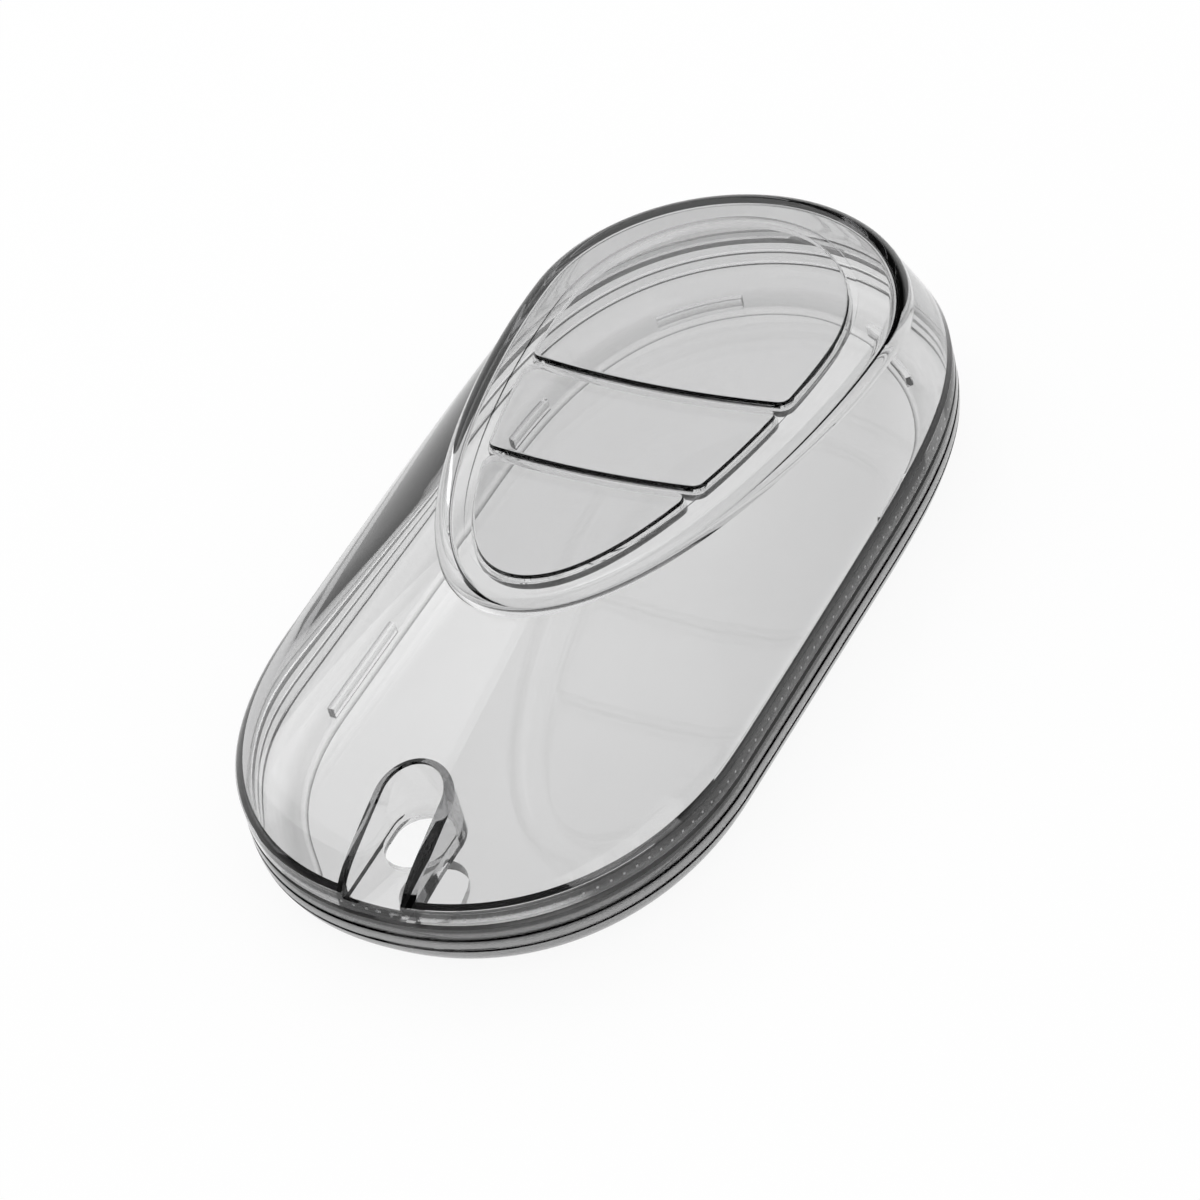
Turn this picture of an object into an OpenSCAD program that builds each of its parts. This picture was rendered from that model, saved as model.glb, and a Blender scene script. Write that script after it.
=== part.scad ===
// Clear two-part cover for a key fob, lying on its back with the button face up and the key-ring end
// toward -Y. The origin is on the table under the middle of the outline. Lengths are in millimetres.

/* [Outline] */
// Length of the cover
cover_length = 82; // [78:0.5:88]
// Width of the cover
cover_width = 42.8; // [40:0.2:46]
// Length of the rounded ring end
ring_end_length = 23.6; // [21:0.2:27]
// Length of the rounded button end
button_end_length = 37; // [33:0.5:41]
// Squareness of the ring end, where 2 is an ellipse
ring_end_squareness = 2.18; // [2:0.02:2.5]
// Squareness of the button end where it leaves the sides, where 2 is an ellipse
button_end_side_squareness = 3.5; // [2.6:0.1:4.2]
// Squareness of the button end where it crosses the middle, where 2 is an ellipse
button_end_tip_squareness = 1.85; // [1.7:0.05:2.4]

/* [Shell] */
// Wall thickness of both halves
wall = 1.1; // [1:0.05:1.3]
// Radius of the back half's lower edge
back_edge_radius = 4.1; // [3.2:0.1:5]
// Height of the back half's outer wall
back_wall_height = 5.8; // [5.4:0.1:6.2]
// Open groove between the halves
groove_height = 0.5; // [0.3:0.05:0.7]
// Height from the table to the upper of the two fine lines cut round the back half
line_height = 4.6; // [4.3:0.1:4.9]
// Height between the two fine lines
line_spacing = 1.3; // [1.1:0.1:1.5]
// Width of the fine lines
line_width = 0.35; // [0.2:0.05:0.5]
// Depth of the fine lines
line_depth = 0.22; // [0.1:0.02:0.35]
// Height from the table to the crease where the front wall turns into the skirt
crease_height = 8; // [7.9:0.1:9]
// Height of the soft shoulder above the crease at the ring end
shoulder_height = 0.9; // [0.4:0.1:1.2]

/* [Snap lip] */
// Thickness of the lip on the back half
lip_thickness = 0.5; // [0.4:0.05:0.6]
// How far the lip reaches into the front half
lip_overlap = 1; // [0.8:0.05:1.1]
// Clearance beside the lip
lip_clearance = 0.05; // [0.03:0.01:0.1]
// Clearance above the lip
seat_clearance = 0.02; // [0.01:0.01:0.05]

/* [Button face] */
// Height of the face above the table at the cover's middle
face_height = 16.3; // [15.5:0.1:17.5]
// Fall of the face toward the button end, in degrees
face_tilt = 3.4; // [2.4:0.2:4.4]
// Length of the egg-shaped face
face_length = 55.3; // [53:0.1:56.5]
// Width of the egg-shaped face
face_width = 33.9; // [32.5:0.1:35]
// Distance from the cover's button end to the face
face_margin = 1.95; // [1.8:0.05:3]
// Distance from the face's far edge to its widest place
face_widest = 16.6; // [16:0.2:19]
// Radius of the face's edge round the button end and the sides
face_edge_radius = 2.1; // [1.6:0.1:2.3]
// Radius of the face's edge at its tip, toward the ring end
face_tip_radius = 0.9; // [0.6:0.1:1.5]

/* [Buttons] */
// Length of the field that holds the three buttons
field_length = 46.9; // [45:0.1:47.5]
// Width of the field
field_width = 24.6; // [23:0.2:26]
// Distance from the face's far edge to the field
field_margin = 4.85; // [4.5:0.05:5.3]
// Distance from the field's far edge to its widest place
field_widest = 14.2; // [13:0.2:16]
// Length of the upper button on the centre line
upper_button_length = 22.1; // [20:0.1:23]
// Length of the middle button on the centre line
middle_button_length = 10.45; // [9.5:0.05:11.5]
// Radius of the curved edges between the buttons
divider_radius = 85; // [60:1:140]
// Width of the channel around each button
channel_width = 0.9; // [0.8:0.05:1.1]
// Depth of the channel
channel_depth = 0.25; // [0.15:0.05:0.35]
// How far the buttons stand above the face
button_proud = 0.2; // [0.1:0.05:0.4]
// Corner radius of the buttons
button_corner = 0.9; // [0.5:0.1:1.5]
// Clearance around each button
button_clearance = 0.12; // [0.08:0.01:0.14]
// Width of the flange that keeps a button in its window
flange_width = 0.3; // [0.25:0.01:0.34]
// Thickness of the flange
flange_thickness = 0.6; // [0.4:0.05:0.8]

/* [Key ring] */
// Width of the U-shaped notch
notch_width = 5.4; // [5.3:0.1:6.6]
// Length of the notch from the ring end
notch_length = 11.2; // [10:0.1:12.4]
// Thickness of the web at the bottom of the notch
web_thickness = 1; // [0.8:0.05:1.1]
// Thickness of the notch's side walls
notch_wall = 0.8; // [0.7:0.05:1.1]
// Width of the oval ring hole
ring_hole_width = 5.1; // [4.8:0.1:5.2]
// Length of the oval ring hole
ring_hole_length = 6.3; // [5.8:0.1:6.8]
// Ledge left between the ring hole and the notch's round end
ring_hole_ledge = 0.3; // [0.2:0.05:0.5]

/* [Inner ribs] */
// Thickness of the short ribs that hold the fob off the wall
rib_thickness = 0.6; // [0.4:0.05:0.8]
// Distance from the outline to the ribs
rib_inset = 3.3; // [2.6:0.1:3.4]
// Height of the ribs above the table
rib_height = 2.2; // [1.8:0.1:2.8]

/* [Hidden] */

// Overrun of every cut
overrun = 1;

half_length = cover_length / 2;
half_width = cover_width / 2;

front_bottom = back_wall_height + groove_height;
lip_top = front_bottom + lip_overlap;
lip_inset = wall - lip_thickness;
web_top = front_bottom + web_thickness;
notch_end = notch_length - half_length;
ring_hole_y = notch_end - ring_hole_ledge - ring_hole_length / 2;

// The inside of the skirt starts a little below the outer crease, with a smaller shoulder
inner_crease_share = 0.32;
inner_crease = crease_height - inner_crease_share * wall;
inner_shoulder_share = 0.55;
inner_corner_share = 0.1;
inner_least_corner = (1 + inner_corner_share) * wall;

face_top = half_length - face_margin;
field_top = face_top - field_margin;
field_tip = field_top - field_length;
divider_1 = field_top - upper_button_length;
divider_2 = divider_1 - channel_width - middle_button_length;

// The egg's long end is one curve, with its two handles as shares of the long end and of the half width
egg_side_share = 0.366;
egg_tip_share = 0.648;

// Bulge of the skirt between the crease and the face, at the sides and at the ring end
side_bulge_share = 0.1;
ring_bulge_share = 0.22;
shoulder_power = 30;

// Stations along one half of the outline, and rings up the skirt and round the lower edge
ring_stations = 20;
side_stations = 4;
button_stations = 22;
skirt_rings = 8;
skirt_spacing = 1.5;
edge_rings = 6;

// Points along one half of the button field
field_stations = 48;

// Rib spans along the sides, as shares of half the length, and at the button end, of half the width
side_rib_shares = [[-0.45, -0.19], [0.35, 0.49]];
end_rib_shares = [0.29, 0.58];

shell_colour = [0.45, 0.45, 0.46, 0.5];
button_colour = [0.6, 0.6, 0.61, 0.5];

// Height of the button face above the table at a place along the cover
function face_at(y) = face_height - y * tan(face_tilt);

// Outline of one half of the cover on the +X side, from the ring end's tip to the button end's tip
function half_outline(inset) =
    let (w = half_width - inset)
    let (ring_reach = ring_end_length - inset)
    let (button_reach = button_end_length - inset)
    let (ring_start = ring_end_length - half_length)
    let (button_start = half_length - button_end_length)
    let (ring_power = 2 / ring_end_squareness)
    let (side_power = 2 / button_end_side_squareness)
    let (tip_power = 2 / button_end_tip_squareness)
    concat(
        [for (i = [0:ring_stations - 1]) let (a = 90 - 90 * i / ring_stations)
            [w * pow(cos(a), ring_power), ring_start - ring_reach * pow(sin(a), ring_power)]],
        [for (i = [0:side_stations])
            [w, ring_start + (button_start - ring_start) * i / side_stations]],
        [for (i = [1:button_stations]) let (a = 90 * i / button_stations)
            [w * pow(max(0, cos(a)), tip_power), button_start + button_reach * pow(sin(a), side_power)]]
    );

// Half points are mirrored to a closed ring, and both tips are kept once
function closed(half) =
    concat(half, [for (i = [len(half) - 2:-1:1]) [-half[i].x, each [for (k = [1:len(half[i]) - 1]) half[i][k]]]]);

function outline(inset) = closed(half_outline(inset));

// Point of the egg-shaped curve, from its tip (s = 0) round the +X side to its far edge (s = 1)
function egg_point(s, w, tip, widest, top) =
    s < 0.5
        ? let (v = 2 * s) let (side = widest - egg_side_share * (widest - tip)) let (t = 1 - v)
            [3 * t * v * v * w + 3 * t * t * v * egg_tip_share * w + v * v * v * w,
             t * t * t * tip + 3 * t * t * v * tip + 3 * t * v * v * side + v * v * v * widest]
        : let (a = 90 * (2 * s - 1))
            [w * cos(a), widest + (top - widest) * sin(a)];

function face_point(s, inset) =
    egg_point(s, face_width / 2 - inset, face_top - face_length + inset, face_top - face_widest, face_top - inset);

function field_point(s, grow) =
    egg_point(s, field_width / 2 + grow, field_tip - grow, field_top - field_widest, field_top + grow);

function field_outline(grow) = closed([for (i = [0:field_stations]) field_point(i / field_stations, grow)]);

// Bearing of a point seen from the face's widest place, 0 toward the ring end and 180 toward the button end
function bearing(p) = atan2(p.x, face_top - face_widest - p.y);

// Place on the face's edge that has a given bearing
function face_on_bearing(b, inset, low = 0, high = 1, steps = 22) =
    let (s = (low + high) / 2)
    steps == 0 ? face_point(s, inset)
        : bearing(face_point(s, inset)) < b ? face_on_bearing(b, inset, s, high, steps - 1)
        : face_on_bearing(b, inset, low, s, steps - 1);

// How far a bearing points toward the ring end, from 0 to 1
function ringward(b) = pow(max(0, cos(b)), 2);

// Distance from the face's edge to the centre of its rounding, at a bearing
function corner(b, least) = max(least, face_edge_radius + (face_tip_radius - face_edge_radius) * ringward(b));

// One ring of points of the skirt, u running from the crease to the foot of the face's rounded edge
function skirt_ring(u, inset, crease, shoulder, least) =
    closed([for (p = half_outline(inset))
        let (b = bearing(p))
        let (e = face_on_bearing(b, inset))
        let (rise = shoulder * ringward(b))
        let (bulge = side_bulge_share + (ring_bulge_share - side_bulge_share) * ringward(b))
        let (top = face_at(e.y) - corner(b, least))
        [p.x + (e.x - p.x) * u,
         p.y + (e.y - p.y) * u,
         crease + rise * (1 - pow(1 - u, shoulder_power))
            + (top - crease - rise) * (u + bulge * u * (1 - u))]]);

function level_ring(points, z) = [for (p = points) [p.x, p.y, z]];

// One ring of points of the face's rounded edge, a running from 0 at the skirt to 90 at the face
function face_ring(a, inset, least) =
    closed([for (p = half_outline(inset))
        let (b = bearing(p))
        let (c = corner(b, least))
        let (e = face_on_bearing(b, c - (c - inset) * cos(a)))
        [e.x, e.y, face_at(e.y) - c + (c - inset) * sin(a)]]);

// Closed solid through a stack of rings that have the same number of points, lowest ring first
module loft(rings) {
    n = len(rings[0]);
    last = len(rings) - 1;
    points = [for (r = rings) each r];
    sides = [for (k = [0:last - 1]) for (i = [0:n - 1])
        let (j = (i + 1) % n)
        each [[k * n + i, (k + 1) * n + j, k * n + j], [k * n + i, (k + 1) * n + i, (k + 1) * n + j]]];
    bottom = [[for (i = [0:n - 1]) i]];
    top = [[for (i = [n - 1:-1:0]) last * n + i]];
    polyhedron(points, concat(bottom, sides, top), convexity = 6);
}

// The front half as a filled form, out to the skirt's outside
module front_form() {
    loft(concat(
        [level_ring(outline(0), front_bottom)],
        [for (k = [0:skirt_rings])
            skirt_ring(pow(k / skirt_rings, skirt_spacing), 0, crease_height, shoulder_height, 0)],
        [for (a = [30, 60, 90]) face_ring(a, 0, 0)]
    ));
}

// The space under the skirt and the face
module front_space() {
    loft(concat(
        [level_ring(outline(wall), front_bottom - overrun)],
        [for (k = [0:skirt_rings])
            skirt_ring(pow(k / skirt_rings, skirt_spacing), wall, inner_crease,
                inner_shoulder_share * shoulder_height, inner_least_corner)],
        [for (a = [45, 90]) face_ring(a, wall, inner_least_corner)]
    ));
}

// A closed ring round the cover between two insets, from one height to another
module band(outer_inset, inner_inset, low, high) {
    translate([0, 0, low])
        linear_extrude(high - low)
            difference() {
                polygon(outline(outer_inset));
                polygon(outline(inner_inset));
            }
}

// How far the back half's rounded edge lies inside the outline at a height
function edge_inset(z) =
    z < back_edge_radius ? back_edge_radius - sqrt(pow(back_edge_radius, 2) - pow(back_edge_radius - z, 2)) : 0;

// The back half as a filled form with its rounded lower edge
module back_form(inset, top) {
    radius = back_edge_radius - inset;
    loft(concat(
        [for (k = [0:edge_rings]) let (a = 90 * k / edge_rings)
            level_ring(outline(inset + radius * (1 - sin(a))), inset + radius * (1 - cos(a)))],
        [level_ring(outline(inset), top)]
    ));
}

// Plan of the notch, open toward the ring end
module notch_plan(grow) {
    width = notch_width + 2 * grow;
    translate([0, notch_end - notch_width / 2])
        circle(d = width, $fn = 64);
    translate([-width / 2, -half_length - overrun])
        square([width, notch_length - notch_width / 2 + overrun]);
}

// Oval hole that the key ring passes through
module ring_hole(low, high) {
    straight = ring_hole_length - ring_hole_width;
    translate([0, ring_hole_y, low])
        linear_extrude(high - low)
            union() {
                for (side = [-1, 1])
                    translate([0, side * straight / 2])
                        circle(d = ring_hole_width, $fn = 64);
                square([ring_hole_width, straight], center = true);
            }
}

// Places what is drawn on the flat XY plane onto the tilted button face
module on_face() {
    translate([0, 0, face_height])
        rotate([-face_tilt, 0, 0])
            children();
}

// Strip of the face between two curved dividers, which bow toward the ring end
module strip(upper, lower) {
    difference() {
        translate([0, lower + divider_radius])
            circle(r = divider_radius, $fn = 256);
        translate([0, upper + divider_radius])
            circle(r = divider_radius, $fn = 256);
    }
}

// Plan of one button, with round corners, grown for its window or its flange
module button_plan(index, grow) {
    offset(r = button_corner + grow, $fn = 32)
        offset(delta = -button_corner)
            intersection() {
                polygon(field_outline(0));
                if (index == 0)
                    translate([0, divider_1 + divider_radius])
                        circle(r = divider_radius, $fn = 256);
                if (index == 1)
                    strip(divider_1 - channel_width, divider_2);
                if (index == 2)
                    strip(divider_2 - channel_width, field_tip - divider_radius);
            }
}

// One button: its top stands a little above the face, and its flange lies under the thinned web
module button(index) {
    color(button_colour)
        on_face()
            translate([0, 0, -wall - flange_thickness]) {
                linear_extrude(wall + flange_thickness + button_proud)
                    button_plan(index, 0);
                linear_extrude(flange_thickness)
                    button_plan(index, flange_width);
            }
}

module back_shell() {
    lip_gap = notch_wall + lip_clearance;
    color(shell_colour)
        difference() {
            union() {
                difference() {
                    union() {
                        back_form(0, back_wall_height);
                        band(lip_inset, wall + overrun, back_wall_height - overrun, lip_top);
                    }
                    back_form(wall, lip_top + overrun);
                }
                inner_ribs();
            }
            // Fine lines round the outside
            for (z = [line_height, line_height - line_spacing])
                band(-overrun, edge_inset(z) + line_depth, z - line_width / 2, z + line_width / 2);
            // The lip stops on both sides of the notch
            translate([0, 0, back_wall_height])
                linear_extrude(lip_top)
                    notch_plan(lip_gap);
            ring_hole(-overrun, back_wall_height);
        }
}

// Short ribs on the inside of the rounded edge, on both sides and at the button end
module inner_ribs() {
    intersection() {
        band(rib_inset, rib_inset + rib_thickness, wall / 2, rib_height);
        union() {
            for (share = side_rib_shares)
                translate([-half_width, share[0] * half_length, 0])
                    cube([cover_width, (share[1] - share[0]) * half_length, rib_height]);
            for (side = [-1, 1])
                translate([side * (end_rib_shares[0] + end_rib_shares[1]) / 2 * half_width, half_length / 2, 0])
                    translate([-(end_rib_shares[1] - end_rib_shares[0]) / 2 * half_width, 0, 0])
                        cube([(end_rib_shares[1] - end_rib_shares[0]) * half_width, half_length / 2, rib_height]);
        }
    }
}

module front_shell() {
    color(shell_colour)
        difference() {
            union() {
                difference() {
                    front_form();
                    front_space();
                    // Rebate that the lip of the back half fits into
                    band(lip_inset - lip_clearance, wall + overrun, front_bottom - overrun,
                        lip_top + seat_clearance);
                }
                // Walls and web of the key-ring notch
                intersection() {
                    front_form();
                    translate([0, 0, front_bottom])
                        linear_extrude(face_height)
                            notch_plan(notch_wall);
                }
            }
            translate([0, 0, web_top])
                linear_extrude(face_height)
                    notch_plan(0);
            ring_hole(front_bottom - overrun, web_top + overrun);
            on_face() {
                // Channel round all three buttons and between them
                translate([0, 0, -channel_depth])
                    linear_extrude(channel_depth + overrun)
                        polygon(field_outline(channel_width));
                for (index = [0:2])
                    translate([0, 0, -wall - overrun])
                        linear_extrude(wall + 2 * overrun)
                            button_plan(index, button_clearance);
            }
        }
}

module upper_button() {
    button(0);
}

module middle_button() {
    button(1);
}

module lower_button() {
    button(2);
}

back_shell();
front_shell();
upper_button();
middle_button();
lower_button();
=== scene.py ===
"""Looks for the clear two-part key fob cover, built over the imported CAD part."""

import math
from bisect import bisect_left

import bmesh
import bpy
from mathutils import Matrix, Vector
from mathutils.kdtree import KDTree


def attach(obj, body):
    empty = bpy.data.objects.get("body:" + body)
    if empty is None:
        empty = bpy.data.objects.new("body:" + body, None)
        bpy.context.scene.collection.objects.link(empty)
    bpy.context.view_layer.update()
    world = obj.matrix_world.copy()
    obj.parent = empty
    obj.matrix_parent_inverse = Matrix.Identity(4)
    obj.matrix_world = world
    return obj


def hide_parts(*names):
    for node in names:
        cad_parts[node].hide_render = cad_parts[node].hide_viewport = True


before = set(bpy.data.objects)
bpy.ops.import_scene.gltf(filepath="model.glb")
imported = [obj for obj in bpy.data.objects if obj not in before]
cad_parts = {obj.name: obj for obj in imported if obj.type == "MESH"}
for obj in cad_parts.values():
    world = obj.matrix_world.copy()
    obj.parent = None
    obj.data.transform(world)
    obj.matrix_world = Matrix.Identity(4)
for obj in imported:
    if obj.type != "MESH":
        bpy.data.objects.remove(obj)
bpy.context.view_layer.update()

# Sizes of the cover in millimetres, with the names and the frame of the CAD part
MILLIMETRE = 0.001
COVER_LENGTH = 82.0
COVER_WIDTH = 42.8
RING_END_LENGTH = 23.6
BUTTON_END_LENGTH = 37.0
RING_END_SQUARENESS = 2.18
BUTTON_END_SIDE_SQUARENESS = 3.5
BUTTON_END_TIP_SQUARENESS = 1.85
WALL = 1.1
BACK_EDGE_RADIUS = 4.1
BACK_WALL_HEIGHT = 5.8
GROOVE_HEIGHT = 0.5
LINE_HEIGHT = 4.6
LINE_SPACING = 1.3
LINE_WIDTH = 0.35
LINE_DEPTH = 0.22
CREASE_HEIGHT = 8.0
SHOULDER_HEIGHT = 0.9
LIP_THICKNESS = 0.5
LIP_OVERLAP = 1.0
LIP_CLEARANCE = 0.05
SEAT_CLEARANCE = 0.02
FACE_HEIGHT = 16.3
FACE_TILT = math.radians(3.4)
FACE_LENGTH = 55.3
FACE_WIDTH = 33.9
FACE_MARGIN = 1.95
FACE_WIDEST = 16.6
# The face has a tighter rounded edge than in the CAD part, and a softer one at its tip
FACE_EDGE_RADIUS = 1.5
FACE_TIP_RADIUS = 1.3
FIELD_LENGTH = 46.9
FIELD_WIDTH = 24.6
FIELD_MARGIN = 4.85
FIELD_WIDEST = 14.2
UPPER_BUTTON_LENGTH = 22.1
MIDDLE_BUTTON_LENGTH = 10.45
DIVIDER_RADIUS = 85.0
CHANNEL_WIDTH = 0.9
# The channel is drawn a little shallower than in the CAD part, and the pads stand a little less proud
CHANNEL_DEPTH = 0.2
BUTTON_PROUD = 0.1
BUTTON_CORNER = 0.9
BUTTON_CLEARANCE = 0.12
# How far the pads are drawn over their plan, which keeps the gap beside them as fine as it looks
PAD_GROWTH = 0.06
FLANGE_WIDTH = 0.3
FLANGE_THICKNESS = 0.6
NOTCH_WIDTH = 5.4
NOTCH_LENGTH = 11.2
NOTCH_WALL = 0.8
WEB_THICKNESS = 1.0
RING_HOLE_WIDTH = 5.1
RING_HOLE_LENGTH = 6.3
RING_HOLE_LEDGE = 0.3
RIB_THICKNESS = 0.6
RIB_INSET = 3.3
RIB_HEIGHT = 2.2

HALF_LENGTH = COVER_LENGTH / 2
HALF_WIDTH = COVER_WIDTH / 2
FRONT_BOTTOM = BACK_WALL_HEIGHT + GROOVE_HEIGHT
LIP_TOP = FRONT_BOTTOM + LIP_OVERLAP
LIP_INSET = WALL - LIP_THICKNESS
WEB_TOP = FRONT_BOTTOM + WEB_THICKNESS
NOTCH_END = NOTCH_LENGTH - HALF_LENGTH
RING_HOLE_Y = NOTCH_END - RING_HOLE_LEDGE - RING_HOLE_LENGTH / 2
RING_START = RING_END_LENGTH - HALF_LENGTH
BUTTON_START = HALF_LENGTH - BUTTON_END_LENGTH
# The crease and the shoulder of the inside, which lies one wall in
INNER_CREASE = CREASE_HEIGHT - 0.32 * WALL
INNER_SHOULDER = 0.55 * SHOULDER_HEIGHT
INNER_LEAST_CORNER = FACE_EDGE_RADIUS
# How much thicker the wall is drawn where it meets the face, which gives the face its dark far edge
HEAD_THICKENING = 0.3
FACE_TOP = HALF_LENGTH - FACE_MARGIN
FIELD_TOP = FACE_TOP - FIELD_MARGIN
FIELD_TIP = FIELD_TOP - FIELD_LENGTH
DIVIDER_1 = FIELD_TOP - UPPER_BUTTON_LENGTH
DIVIDER_2 = DIVIDER_1 - CHANNEL_WIDTH - MIDDLE_BUTTON_LENGTH
# How far the handles of the egg's tip reach along its side and across its tip
EGG_SIDE_SHARE = 0.366
EGG_TIP_SHARE = 0.648
# How far the skirt bulges at the sides and toward the ring end, and how sharply it turns at the crease
SIDE_BULGE = 0.1
RING_BULGE = 0.22
SHOULDER_POWER = 30
# Where the ribs lie, as shares of the half length, and of the half width at the button end
SIDE_RIB_SPANS = [(-0.45, -0.19), (0.35, 0.49)]
END_RIB_SPAN = (0.29, 0.58)

# How finely the smooth forms are drawn. A spacing above 1 draws the skirt's rings together at the crease
OUTLINE_STATIONS = 150
SKIRT_RINGS = 44
SKIRT_SPACING = 1.5
ROUND_STEPS = 8
BACK_ROUND_STEPS = 16
PAD_ROUND_STEPS = 4
FIELD_STATIONS = 160
DIVIDER_STEPS = 40
CORNER_STEPS = 10
NOTCH_STEPS = 48
HOLE_STEPS = 96
RIB_PLACES = 1200
DENSE_PLACES = 9000
HALVINGS = 34
# How far cutting tools reach past what they cut
OVERRUN = 1.0
# Step for a curve's direction, least distance of a station from the curve's ends, and points that are one
TANGENT_STEP = 1e-4
END_GAP = 0.2
SAME_POINT = 1e-6
# Width of the level strip beside a rounded edge, which keeps the shading of the flat beyond it true
STRIP = 0.12
PAD_EDGE_RADIUS = 0.1
SHARP_ANGLE = math.radians(28)
# The sides of a line in the wall slope by this height, which keeps its points in order when sorted
LINE_CORNER = 1e-4
# How near a line in the wall the other points of the back half's section may come, in line widths
LINE_CLEARANCE = 0.8


def power(value, exponent):
    """Power of a value that rounding may have left a little below zero."""
    return max(0.0, value) ** exponent


def outline_point(place, inset):
    """Point of the outline's +X half.

    place is 0 to 1 on the ring end, 1 to 2 on the side and 2 to 3 on the button end.
    """
    width = HALF_WIDTH - inset
    if place < 1:
        angle = math.pi / 2 * (1 - place)
        bend = 2 / RING_END_SQUARENESS
        return (width * power(math.cos(angle), bend),
                RING_START - (RING_END_LENGTH - inset) * power(math.sin(angle), bend))
    if place < 2:
        return (width, RING_START + (BUTTON_START - RING_START) * (place - 1))
    angle = math.pi / 2 * (place - 2)
    reach = (BUTTON_END_LENGTH - inset) * power(math.sin(angle), 2 / BUTTON_END_SIDE_SQUARENESS)
    return (width * power(math.cos(angle), 2 / BUTTON_END_TIP_SQUARENESS), BUTTON_START + reach)


def even_places(count):
    """Places on the half outline that are evenly spaced along it."""
    dense = [3 * i / DENSE_PLACES for i in range(DENSE_PLACES + 1)]
    travelled = [0.0]
    for a, b in zip(dense, dense[1:]):
        travelled.append(travelled[-1] + math.dist(outline_point(a, 0), outline_point(b, 0)))
    places = [0.0]
    for i in range(1, count):
        wanted = travelled[-1] * i / count
        k = bisect_left(travelled, wanted)
        share = (wanted - travelled[k - 1]) / (travelled[k] - travelled[k - 1])
        places.append(dense[k - 1] + (dense[k] - dense[k - 1]) * share)
    return places + [3.0]


PLACES = even_places(OUTLINE_STATIONS)


def half_outline(inset):
    return [outline_point(place, inset) for place in PLACES]


def closed(half):
    """A half curve and its mirror image, with each tip kept once."""
    return half + [(-p[0], *p[1:]) for p in reversed(half[1:-1])]


def level_ring(inset, z):
    return [(x, y, z) for x, y in closed(half_outline(inset))]


def egg_point(s, width, tip, widest, top):
    """Point of an egg-shaped curve, from its tip (s = 0) round the +X side to its far edge (s = 1)."""
    if s < 0.5:
        v = 2 * s
        t = 1 - v
        side = widest - EGG_SIDE_SHARE * (widest - tip)
        return (3 * t * v * v * width + 3 * t * t * v * EGG_TIP_SHARE * width + v ** 3 * width,
                t ** 3 * tip + 3 * t * t * v * tip + 3 * t * v * v * side + v ** 3 * widest)
    angle = math.pi / 2 * (2 * s - 1)
    return (width * math.cos(angle), widest + (top - widest) * math.sin(angle))


def face_point(s, inset):
    return egg_point(s, FACE_WIDTH / 2 - inset, FACE_TOP - FACE_LENGTH + inset, FACE_TOP - FACE_WIDEST,
                     FACE_TOP - inset)


def field_point(s, grow):
    return egg_point(s, FIELD_WIDTH / 2 + grow, FIELD_TIP - grow, FIELD_TOP - FIELD_WIDEST, FIELD_TOP + grow)


def face_at(y):
    """Height of the button face at a place along the cover."""
    return FACE_HEIGHT - y * math.tan(FACE_TILT)


def bearing(p):
    """Angle of a point round the face's widest place, from the ring end."""
    return math.atan2(p[0], FACE_TOP - FACE_WIDEST - p[1])


def face_on_bearing(wanted, inset):
    """Point of the face's curve on a bearing, found by halving."""
    low, high = 0.0, 1.0
    for _ in range(HALVINGS):
        middle = (low + high) / 2
        if bearing(face_point(middle, inset)) < wanted:
            low = middle
        else:
            high = middle
    return face_point((low + high) / 2, inset)


def ringward(angle):
    """How far a bearing points toward the ring end, from 0 to 1."""
    return max(0.0, math.cos(angle)) ** 2


def edge_centre(angle, least):
    """Distance from the face's edge to the centre of its rounding, at a bearing."""
    return max(least, FACE_EDGE_RADIUS + (FACE_TIP_RADIUS - FACE_EDGE_RADIUS) * ringward(angle))


def skirt_rings(inset, crease, shoulder, least, thicker=0):
    """Rings of the skirt, from the crease up to the foot of the face's rounded edge."""
    feet = half_outline(inset)
    heads = [face_on_bearing(bearing(p), inset + thicker) for p in feet]
    rings = []
    for k in range(SKIRT_RINGS + 1):
        u = (k / SKIRT_RINGS) ** SKIRT_SPACING
        half = []
        for p, e in zip(feet, heads):
            angle = bearing(p)
            rise = shoulder * ringward(angle)
            bulge = SIDE_BULGE + (RING_BULGE - SIDE_BULGE) * ringward(angle)
            top = face_at(e[1]) - edge_centre(angle, least)
            z = (crease + rise * (1 - (1 - u) ** SHOULDER_POWER)
                 + (top - crease - rise) * (u + bulge * u * (1 - u)))
            half.append((p[0] + (e[0] - p[0]) * u, p[1] + (e[1] - p[1]) * u, z))
        rings.append(closed(half))
    return rings


def face_rings(inset, least, thicker=0):
    """Rings of the face's rounded edge, from the skirt to the level face, and a narrow strip of the face."""
    rings = []
    turns = [(math.pi / 2 * k / ROUND_STEPS, 0) for k in range(1, ROUND_STEPS + 1)]
    for turn, strip in turns + [(math.pi / 2, STRIP)]:
        half = []
        for p in half_outline(inset):
            centre = edge_centre(bearing(p), least)
            radius = centre - inset
            x, y = face_on_bearing(bearing(p), centre - radius * math.cos(turn) + strip + thicker)
            half.append((x, y, face_at(y) - centre + radius * math.sin(turn)))
        rings.append(closed(half))
    return rings


def mesh_object(name, points, faces):
    mesh = bpy.data.meshes.new(name)
    mesh.from_pydata(points, [], faces)
    mesh.validate()
    piece = bpy.data.objects.new(name, mesh)
    bpy.context.scene.collection.objects.link(piece)
    return piece


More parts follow.
